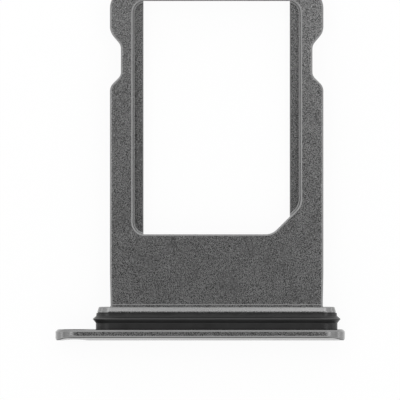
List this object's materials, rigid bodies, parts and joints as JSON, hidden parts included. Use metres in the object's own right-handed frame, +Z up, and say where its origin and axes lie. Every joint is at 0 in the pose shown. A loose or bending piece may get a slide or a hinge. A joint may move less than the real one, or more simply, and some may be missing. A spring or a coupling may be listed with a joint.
{
  "type": "sim card tray",
  "caption": "Slide-in tray for a nano-size SIM card: flat notched frame with a ledged card pocket, rubber-sealed neck and a crowned faceplate with an eject hole.",
  "frame": {"origin": "middle of the underside of the bounding box", "axes": "+Y the way the tray goes into the device, +Z up out of the card pocket, +X away from the eject hole along the faceplate"},
  "size_m": [0.0154, 0.0186, 0.0021],
  "materials": {
    "tray_metal": "bead-blasted and anodised dark grey, with smoother, lighter broken edges",
    "gasket_rubber": "moulded black silicone rubber, satin"
  },
  "bodies": {
    "root": {"tray": "tray_metal", "gasket": "gasket_rubber"}
  },
  "joints": []
}
